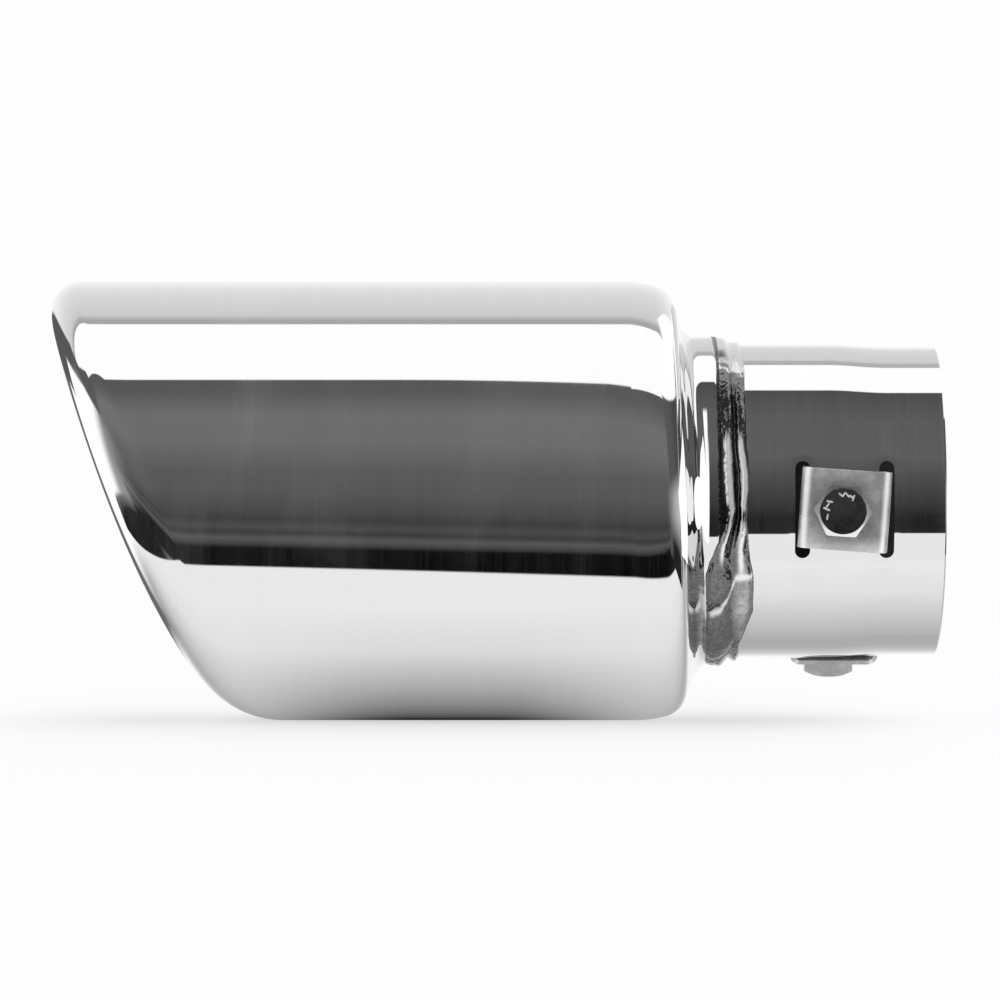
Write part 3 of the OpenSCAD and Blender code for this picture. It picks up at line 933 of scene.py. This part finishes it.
def weld_metal():
    """The weld: glossy frozen metal, painted bright with highlights on its ridges and dark between them."""
    material, tree, shader = metal("weld_metal")
    grain = placed(tree, GRAIN, Size=2600.0)
    # The attribute "tone" is painted light: highlights on the ridges and a painted reflection on the top.
    painted_light_and_tone = node(tree, "ShaderNodeAttribute", attribute_name="tone").outputs["Fac"]
    spotted = maths(tree, "ADD", painted_light_and_tone, ramp(tree, grain, 0.3, 0.7, -0.04, 0.04))
    colour = tint(tree, spotted, grey(0.055), (0.90, 0.90, 0.89))
    tree.links.new(colour, shader.inputs["Base Color"])
    tree.links.new(ramp(tree, painted_light_and_tone, 0.3, 0.8, 1.0, 0.5), shader.inputs["Metallic"])
    tree.links.new(ramp(tree, grain, 0.3, 0.7, 0.10, 0.20), shader.inputs["Roughness"])
    bump(tree, shader, grain, 0.00001, 0.5)
    return material


def clip_steel():
    """The clips: plain grey sheet with faint mottling, and a painted highlight along its bends."""
    material, tree, shader = metal("clip_steel")
    grain = placed(tree, GRAIN, Size=700.0)
    patches = placed(tree, GRAIN, Size=120.0)
    # The attribute "tone" is the painted highlight along the bends.
    painted_light_and_tone = node(tree, "ShaderNodeAttribute", attribute_name="tone").outputs["Fac"]
    sheet = tint(tree, ramp(tree, patches, 0.35, 0.65), (0.42, 0.42, 0.415), (0.62, 0.62, 0.61))
    tree.links.new(tint(tree, painted_light_and_tone, sheet, grey(0.97)), shader.inputs["Base Color"])
    dull = maths(tree, "MULTIPLY_ADD", painted_light_and_tone, 0.4, ramp(tree, patches, 0.4, 0.7, 0.40, 0.55))
    tree.links.new(maths(tree, "SUBTRACT", 1.0, dull), shader.inputs["Metallic"])
    tree.links.new(ramp(tree, grain, 0.3, 0.7, 0.24, 0.36), shader.inputs["Roughness"])
    bump(tree, shader, grain, 0.00002, 0.4)
    return material


def bolt_steel():
    """The bolts: plating with fine grain, brighter on the strokes and on the chamfer, where light and shade
    are painted.
    """
    material, tree, shader = metal("bolt_steel")
    grain = placed(tree, GRAIN, Size=1100.0)
    patches = placed(tree, GRAIN, Size=300.0)
    # The attribute "tone" is 1 on the strokes and painted light and shade on the chamfer.
    painted_light_and_tone = node(tree, "ShaderNodeAttribute", attribute_name="tone").outputs["Fac"]
    plating = tint(tree, ramp(tree, patches, 0.35, 0.65), grey(0.38), grey(0.62))
    tree.links.new(tint(tree, painted_light_and_tone, plating, grey(0.92)), shader.inputs["Base Color"])
    tree.links.new(ramp(tree, painted_light_and_tone, 0.1, 1.0, 1.0, 0.35), shader.inputs["Metallic"])
    tree.links.new(ramp(tree, grain, 0.3, 0.7, 0.14, 0.24), shader.inputs["Roughness"])
    bump(tree, shader, grain, 0.00002, 0.5)
    return material


CLIP_FINISH = clip_steel()
BOLT_FINISH = bolt_steel()
for piece, finish in ((body_shell, polished_steel()), (inlet_tube, neck_steel()), (weld, weld_metal()),
                      (side_clip, CLIP_FINISH), (lower_clip, CLIP_FINISH),
                      (side_bolt, BOLT_FINISH), (lower_bolt, BOLT_FINISH)):
    piece.data.materials.clear()
    piece.data.materials.append(finish)


# Brightness of the white surroundings, and of the soft light that falls on the floor
BACKGROUND = 0.985
FLOOR_PALENESS = 0.9
SKY = BACKGROUND / FLOOR_PALENESS
FLOOR_GLOW = 0.6

# The studio's lights and dark cards as the polished steel reflects them, by the angle round the
#  tip's axis: 0 is towards the front, 90 straight up, 180 behind and -90 straight down. Each stop is
#  an angle and a brightness, chosen so that the render's grey levels come near the photo's.
STUDIO_BANDS = (
    (-180, 0.90), (-60, 0.90), (-45, 0.003), (-27, 0.005), (-24.5, 0.07), (-22, 0.11), (-19, 0.05),
    (-16, 0.08), (-12, 0.055), (-7, 0.08), (2, 0.11), (14, 0.125), (30, 0.18), (45, 0.185), (58, 0.12),
    (65.4, 0.11), (66.0, 1.22), (105.0, 1.22), (105.6, 0.46), (108.5, 0.46), (113.5, 0.72), (122, 0.77),
    (148, 0.88), (156, 0.95), (180, 1.0))
# How far the lower bands lean and the upper ones bend, in degrees for the direction's x and its square
LOW_BAND_SLOPE = 58.0
TOP_BAND_BEND = 1500.0
# The neck's own bands, by the place on its screen round the axis
NECK_BANDS = (
    (-28, 0.97), (-15.2, 0.97), (-14.8, 0.02), (-11, 0.016), (-7, 0.02), (-4, 0.035), (0, 0.05),
    (9, 0.08), (20, 0.13), (38, 0.125), (56.3, 0.085), (56.9, 1.22), (78.0, 1.22), (78.6, 0.50),
    (82.0, 0.52), (84.5, 0.74), (110, 0.82))
NECK_SCREEN_R = 42 * MM
NECK_SCREEN_REACH = 6 * MM
NECK_SCREEN_START = -COLLAR_END - 5.5 * MM
# Brightness of white cards, of the grey flags at the sides and of the black cards low down
WHITE_CARD = 1.24
GREY_FLAG = 0.11
FAR_FLAG = 0.07
BLACK_CARD = 0.005
LOW_RIGHT_CARD = 0.015
# The small white card over the weld: y and z in millimetres, from its point towards the front
WELD_CARD_OUTLINE = ((-43.0, 1.9), (-41.4, -7.0), (-39.7, -11.9), (-33.4, -13), (-33.4, 16),
                     (-34.8, 14.2), (-39.5, 8.3))
WELD_CARD_X = -COLLAR_END - 2.4 * MM


def overlaid(tree, value, share, amount):
    """A brightness with another one laid over it by its share: value + share (amount - value)."""
    return maths(tree, "MULTIPLY_ADD", share, maths(tree, "SUBTRACT", amount, value), value)


def banded(tree, value, bands):
    """A brightness that runs in straight steps through the stops of a list of bands."""
    total = bands[0][1]
    for (start, before), (end, after) in zip(bands, bands[1:]):
        total = maths(tree, "ADD", total, ramp(tree, value, start, end, 0.0, after - before, False))
    return total


def masked(tree, *masks):
    """The product of several masks."""
    total = masks[0]
    for mask in masks[1:]:
        total = maths(tree, "MULTIPLY", total, mask)
    return total


def axis_bands(tree, x, round_axis):
    """The bands by the angle round the axis. The lower ones lean as the direction turns along the
    tip, and the upper ones bend with the square of its turn to the right."""
    held = maths(tree, "MINIMUM", maths(tree, "MAXIMUM", x, -0.1), 0.04)
    slope = ramp(tree, round_axis, -10.0, 60.0, LOW_BAND_SLOPE, 0.0)
    past = maths(tree, "MAXIMUM", maths(tree, "ADD", held, 0.02), 0.0)
    bend = masked(tree, past, past, ramp(tree, round_axis, 75.0, 105.0, TOP_BAND_BEND, 0.0),
                  ramp(tree, round_axis, 0.0, 50.0))
    shifted = maths(tree, "ADD", maths(tree, "MULTIPLY_ADD", held, slope, round_axis), bend)
    return banded(tree, shifted, STUDIO_BANDS)


def with_flags(tree, bands, sideways, up):
    """Grey flags over the bands at both sides, each below a slanting top line, a white card over
    the right one, and black cards low down."""
    left_top = maths(tree, "MINIMUM", ramp(tree, sideways, -180.0, -90.0, -3.0, 38.0, False),
                     ramp(tree, sideways, -93.0, -55.0, 28.0, 51.0, False))
    left_flag = masked(tree, ramp(tree, sideways, -57.0, -61.0), ramp(tree, sideways, -168.0, -165.0),
                       ramp(tree, maths(tree, "SUBTRACT", left_top, up), -1.0, 1.0))
    bands = overlaid(tree, bands, left_flag, GREY_FLAG)
    right_top = maths(tree, "SUBTRACT", ramp(tree, sideways, 46.0, 127.0, 53.0, 18.5, False), up)
    right_flag = masked(tree, ramp(tree, sideways, 44.0, 50.0), ramp(tree, sideways, 134.0, 130.0),
                        ramp(tree, right_top, -1.0, 1.0))
    bands = overlaid(tree, bands, right_flag, ramp(tree, sideways, 60.0, 100.0, GREY_FLAG, FAR_FLAG))
    right_white = masked(tree, ramp(tree, sideways, 88.0, 96.0), ramp(tree, sideways, 149.0, 145.0),
                         ramp(tree, right_top, 1.0, -1.0), ramp(tree, up, 62.0, 56.0))
    bands = overlaid(tree, bands, right_white, WHITE_CARD)
    spread = maths(tree, "ABSOLUTE", sideways)
    low_part = masked(tree, ramp(tree, up, -21.0, -24.0), ramp(tree, spread, 25.0, 45.0))
    bands = overlaid(tree, bands, low_part, BLACK_CARD)
    low_right = masked(tree, ramp(tree, up, -12.0, -16.0), ramp(tree, sideways, 50.0, 65.0))
    return overlaid(tree, bands, low_right, LOW_RIGHT_CARD)


def side_glow(tree, sideways, up):
    """Soft light low at both sides, which fades out towards the back."""
    left = masked(tree, ramp(tree, sideways, -30.0, -85.0, 0.0, 0.30), ramp(tree, up, 24.0, 9.0),
                  ramp(tree, up, -22.0, -16.0))
    right = masked(tree, ramp(tree, sideways, 30.0, 90.0, 0.0, 0.5), ramp(tree, up, 12.0, 2.0),
                   ramp(tree, up, -15.0, -2.0))
    spread = maths(tree, "ABSOLUTE", sideways)
    return masked(tree, maths(tree, "ADD", left, right), ramp(tree, spread, 112.0, 100.0))


def left_card(tree, sideways, up):
    """The share of a white card at the left: its inner side leans, and its top slants."""
    inner = maths(tree, "MULTIPLY_ADD", up, 0.5, maths(tree, "MULTIPLY", sideways, -1.0))
    top = maths(tree, "SUBTRACT", ramp(tree, sideways, -125.0, -88.0, 9.3, 19.2, False), up)
    return masked(tree, ramp(tree, inner, 66.0, 88.0), ramp(tree, sideways, -128.0, -124.0),
                  ramp(tree, top, -1.5, 1.5), ramp(tree, up, -20.0, -18.0))


def studio_world():
    """A white room for the camera, an even sky for the floor, and for reflections a studio of
    bands round the tip's axis with flags, cards and soft light at its sides. Sideways is the
    direction's angle to the right of the front and up its angle over the level, in degrees."""
    world = bpy.data.worlds.new("studio")
    bpy.context.scene.world = world
    world.use_nodes = True
    tree = world.node_tree
    tree.nodes.clear()
    parts = node(tree, "ShaderNodeSeparateXYZ")
    tree.links.new(node(tree, "ShaderNodeTexCoord").outputs["Generated"], parts.inputs[0])
    x, y, z = parts.outputs
    back = maths(tree, "MULTIPLY", y, -1.0)
    round_axis = maths(tree, "DEGREES", maths(tree, "ARCTAN2", z, back))
    sideways = maths(tree, "DEGREES", maths(tree, "ARCTAN2", x, back))
    up = maths(tree, "DEGREES", maths(tree, "ARCSINE", z))
    studio = with_flags(tree, axis_bands(tree, x, round_axis), sideways, up)
    studio = maths(tree, "ADD", studio, side_glow(tree, sideways, up))
    studio = overlaid(tree, studio, left_card(tree, sideways, up), WHITE_CARD)
    rays = node(tree, "ShaderNodeLightPath").outputs
    seen = overlaid(tree, studio, rays["Is Diffuse Ray"], SKY)
    final = overlaid(tree, seen, rays["Is Camera Ray"], BACKGROUND)
    background = node(tree, "ShaderNodeBackground", sockets={0: (1, 1, 1, 1)})
    tree.links.new(final, background.inputs["Strength"])
    tree.links.new(background.outputs[0], node(tree, "ShaderNodeOutputWorld").inputs[0])


def glowing(name):
    """A material that only gives off light: the material, its tree and the emission shader."""
    material = bpy.data.materials.new(name)
    material.use_nodes = True
    tree = material.node_tree
    tree.nodes.clear()
    glow = node(tree, "ShaderNodeEmission")
    tree.links.new(glow.outputs[0], node(tree, "ShaderNodeOutputMaterial").inputs[0])
    return material, tree, glow


def only_reflected(piece):
    """A studio card that shows in polished metal alone."""
    piece.visible_camera = False
    piece.visible_diffuse = False
    piece.visible_shadow = False
    piece.visible_transmission = False


def neck_screen():
    """A curved card close round the neck, from below its front to over its top, with the neck's
    bands by the angle round the axis: point = (x, -r cos angle, r sin angle). Its end by the body
    is white at the front."""
    angles = np.radians(np.linspace(NECK_BANDS[0][0], NECK_BANDS[-1][0], 60))
    ends = np.array([NECK_SCREEN_START, NECK_SCREEN_REACH])[:, None]
    ones = np.ones((2, len(angles)))
    points = np.stack([ends * ones, -NECK_SCREEN_R * np.cos(angles) * ones,
                       NECK_SCREEN_R * np.sin(angles) * ones], -1)
    j = np.arange(len(angles) - 1)
    faces = np.stack([j, j + 1, j + 1 + len(angles), j + len(angles)], -1)
    screen = make_mesh("neck_screen", points.reshape(-1, 3), [faces])
    material, tree, glow = glowing("neck_screen_bands")
    place = node(tree, "ShaderNodeSeparateXYZ")
    tree.links.new(node(tree, "ShaderNodeTexCoord").outputs["Object"], place.inputs[0])
    x, y, z = place.outputs
    angle = maths(tree, "DEGREES", maths(tree, "ARCTAN2", z, maths(tree, "MULTIPLY", y, -1.0)))
    white_end = masked(tree, ramp(tree, x, -46.7 * MM, -46.9 * MM), ramp(tree, angle, -5.0, -3.0),
                       ramp(tree, angle, 42.0, 38.0))
    shine = overlaid(tree, banded(tree, angle, NECK_BANDS), white_end, WHITE_CARD)
    tree.links.new(shine, glow.inputs["Strength"])
    screen.data.materials.append(material)
    only_reflected(screen)


def weld_card():
    """A small white card, pointed towards the front, that stands over the weld and lights the
    body's rear face."""
    points = np.array([(WELD_CARD_X, y * MM, z * MM) for y, z in WELD_CARD_OUTLINE])
    card = make_mesh("weld_card", points, [np.arange(len(points))[None, :]])
    material, _, glow = glowing("white_card")
    glow.inputs["Strength"].default_value = WHITE_CARD
    card.data.materials.append(material)
    only_reflected(card)


def mirrored_floor(tree, x, y):
    """What reflections see of the floor: how bright it is, and where its front part isn't seen.
    It is dark under the body's middle and pale past its ends, with a dark line behind the mouth."""
    body_edge = maths(tree, "MULTIPLY_ADD", maths(tree, "MAXIMUM", x, -0.2), 0.155, -0.0677)
    past_ends = maths(tree, "ADD", ramp(tree, x, -0.160, -0.240, 0.0, 0.100, False),
                      ramp(tree, x, 0.008, 0.020, 0.0, 0.045))
    edge = maths(tree, "ADD", body_edge, past_ends)
    front = ramp(tree, maths(tree, "SUBTRACT", y, edge), 0.0015, -0.0015)
    away = maths(tree, "ABSOLUTE", y)
    shade = maths(tree, "ADD", ramp(tree, away, 0.004, 0.034, 0.0, 0.85, False),
                  ramp(tree, away, 0.034, 0.054, 0.0, 0.15, False))
    pale_ends = maths(tree, "ADD", ramp(tree, x, -0.090, -0.050, 0.0, 0.5),
                      ramp(tree, x, -0.105, -0.150, 0.0, 0.5))
    lit = overlaid(tree, shade, pale_ends, 1.0)
    lit = overlaid(tree, lit, ramp(tree, x, -0.190, -0.240), WHITE_CARD)
    behind = maths(tree, "ADD", y, maths(tree, "MULTIPLY_ADD", x, 1.19, 0.224))
    dark_line = masked(tree, ramp(tree, behind, 0.0, 0.03), ramp(tree, x, -0.165, -0.185))
    return overlaid(tree, lit, dark_line, 0.15), front


def mixed(tree, share, first, second):
    """The output of a mix of two shaders by a share."""
    mix = node(tree, "ShaderNodeMixShader")
    feed(tree, share, mix.inputs[0])
    tree.links.new(first.outputs[0], mix.inputs[1])
    tree.links.new(second.outputs[0], mix.inputs[2])
    return mix


def pale_floor():
    """A wide pale floor under the body, partly glowing so that its shadow stays faint. Reflections
    see it with a deeper soft shadow along the body, and don't see its front part, where a black
    card stands in the studio."""
    half = 4.0
    z = cad_low.z
    points = np.array([[-half, -half, z], [half, -half, z], [half, half, z], [-half, half, z]])
    floor = make_mesh("studio_floor", points, [np.array([[0, 1, 2, 3]])])
    material = bpy.data.materials.new("floor_paper")
    material.use_nodes = True
    tree = material.node_tree
    tree.nodes.clear()
    place = node(tree, "ShaderNodeSeparateXYZ")
    tree.links.new(node(tree, "ShaderNodeTexCoord").outputs["Object"], place.inputs[0])
    x, y, _ = place.outputs
    lit, front = mirrored_floor(tree, x, y)
    paper = node(tree, "ShaderNodeBsdfDiffuse", sockets={0: (*grey(FLOOR_PALENESS), 1)})
    glow = node(tree, "ShaderNodeEmission", sockets={"Strength": BACKGROUND})
    beside = maths(tree, "ABSOLUTE", maths(tree, "ADD", x, 0.100))
    seen = mixed(tree, ramp(tree, beside, 0.06, 0.11, FLOOR_GLOW, 0.95), paper, glow)
    mirrored = node(tree, "ShaderNodeEmission")
    tree.links.new(lit, mirrored.inputs["Strength"])
    open_front = mixed(tree, front, mirrored, node(tree, "ShaderNodeBsdfTransparent"))
    glossy_ray = node(tree, "ShaderNodeLightPath").outputs["Is Glossy Ray"]
    whole = mixed(tree, glossy_ray, seen, open_front)
    tree.links.new(whole.outputs[0], node(tree, "ShaderNodeOutputMaterial").inputs[0])
    floor.data.materials.append(material)


neck_screen()
weld_card()
studio_world()
pale_floor()
bpy.context.scene.view_settings.view_transform = "Standard"
